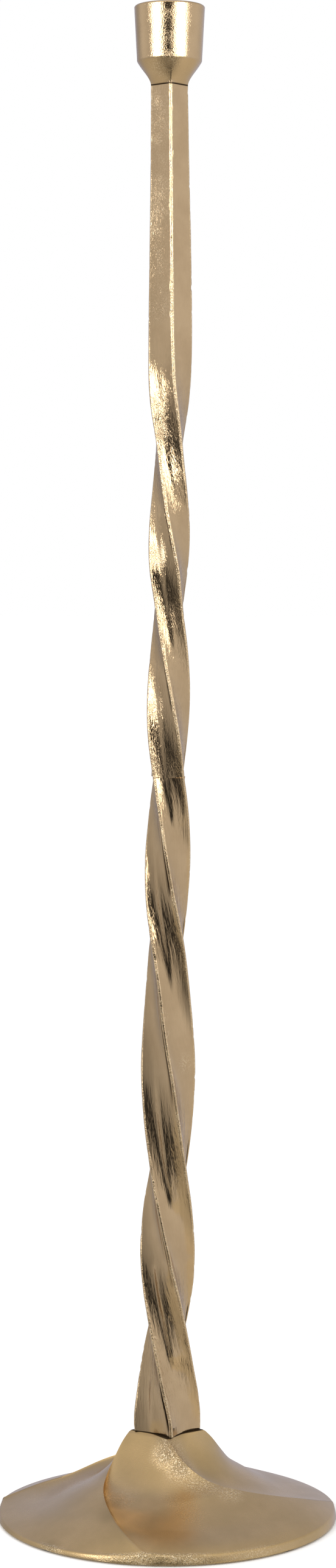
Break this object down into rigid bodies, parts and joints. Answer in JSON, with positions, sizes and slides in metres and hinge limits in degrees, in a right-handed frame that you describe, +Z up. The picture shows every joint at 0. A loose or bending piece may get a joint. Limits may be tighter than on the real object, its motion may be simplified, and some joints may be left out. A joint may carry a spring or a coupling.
{
  "type": "spiral candle holder",
  "caption": "Tall candle holder with a round tapered cup on a twisted square stem that runs out into a swirled round base.",
  "frame": {"origin": "on the floor under the foot pads, on the axis of the stem", "axes": "+Z up along the stem, -Y towards the viewer of the picture, +X to that viewer's right"},
  "size_m": [0.17, 0.17, 0.75],
  "materials": {
    "cast_base": "cast, antique gold, satin",
    "cast_lower_stem": "cast, antique gold, satin",
    "cast_upper_stem": "cast, antique gold, satin",
    "cast_cup": "cast, antique gold, polished satin",
    "zinc_steel": "zinc plated",
    "felt": "pressed felt"
  },
  "bodies": {
    "root": {"base": "cast_base", "lower_stem": "cast_lower_stem", "upper_stem": "cast_upper_stem", "candle_cup": "cast_cup", "cup_stud": "zinc_steel", "stem_stud": "zinc_steel", "base_bolt": "zinc_steel", "base_washer": "zinc_steel", "base_lock_washer": "zinc_steel", "foot_pads": "felt"}
  },
  "joints": []
}
